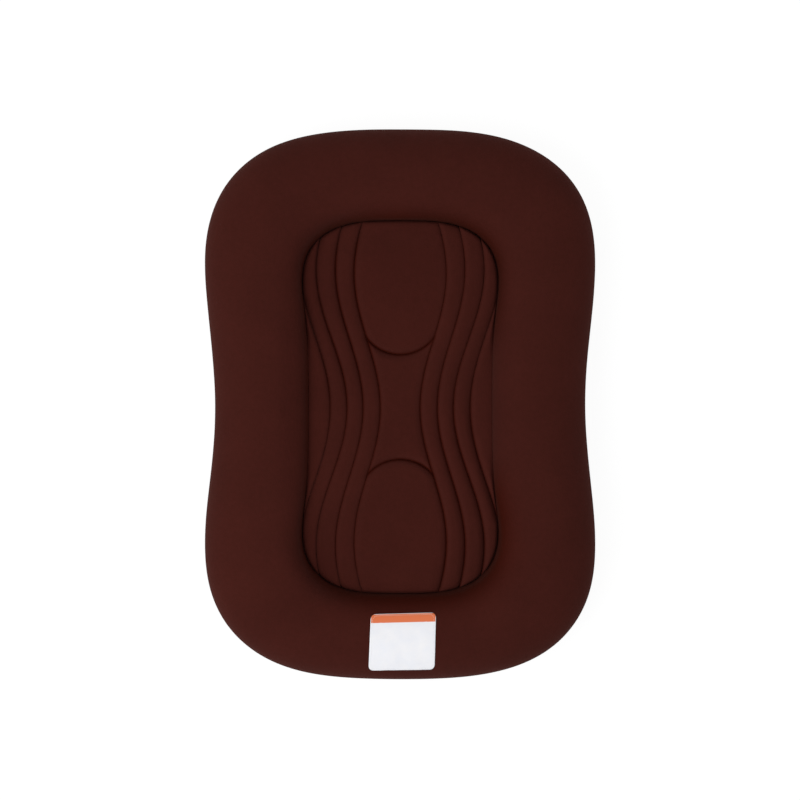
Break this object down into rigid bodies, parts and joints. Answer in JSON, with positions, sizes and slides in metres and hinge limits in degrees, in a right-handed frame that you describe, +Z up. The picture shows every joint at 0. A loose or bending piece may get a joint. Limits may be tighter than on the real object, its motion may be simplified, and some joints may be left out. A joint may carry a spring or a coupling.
{
  "type": "infant lounger",
  "caption": "Padded infant lounger: a soft ring bolster round a shallow well with a channel-quilted centre pad, in a zip-off cover over a filled liner.",
  "frame": {"origin": "on the floor, under the middle of the body's outline", "axes": "+Z up, +Y towards the head end, +X to the right seen from above with the head end away"},
  "size_m": [0.5232, 0.737, 0.1031],
  "materials": {
    "cover_knit": "matte brushed stretch knit, dark oxblood brown",
    "base_twill": "matte cotton twill, dark oxblood brown",
    "liner_cotton": "plain woven cotton, undyed",
    "fibre_fill": "loose polyester fibre",
    "pad_foam": "open-cell foam",
    "patch_satin": "smooth white satin tape, blank, with an orange band",
    "zip_tape": "woven zip tape, dark brown",
    "zip_row": "nylon coil, dark brown",
    "zip_metal": "enamelled zinc alloy, dark brown"
  },
  "bodies": {
    "body": {"cover_ring_top": "cover_knit", "head_pad": "cover_knit", "seat_pad": "cover_knit", "waist_panel": "cover_knit", "left_channel_1": "cover_knit", "left_channel_2": "cover_knit", "left_channel_3": "cover_knit", "left_side_panel": "cover_knit", "right_channel_1": "cover_knit", "right_channel_2": "cover_knit", "right_channel_3": "cover_knit", "right_side_panel": "cover_knit", "cover_base_left": "base_twill", "cover_base_right": "base_twill", "liner_top": "liner_cotton", "liner_base": "liner_cotton", "quilt_backing": "liner_cotton", "bolster_fill": "fibre_fill", "centre_foam_slab": "pad_foam", "sewn_patch": "patch_satin", "zip_tape_left": "zip_tape", "zip_tape_right": "zip_tape", "zip_row_left": "zip_row", "zip_row_right": "zip_row", "zip_head_stop_left": "zip_metal", "zip_head_stop_right": "zip_metal", "zip_foot_stop": "zip_metal"},
    "slider": {"zip_slider": "zip_metal"},
    "pull": {"zip_pull": "zip_metal"}
  },
  "joints": [
    {"name": "zip_slide", "type": "slide", "parent": "body", "child": "slider", "axis": [0, -1, 0], "range_m": [0, 0.448]},
    {"name": "zip_pull_swing", "type": "hinge", "parent": "slider", "child": "pull", "pos_m": [0, 0.22, 0.0089], "axis": [1, 0, 0], "range_deg": [0, 180]}
  ]
}
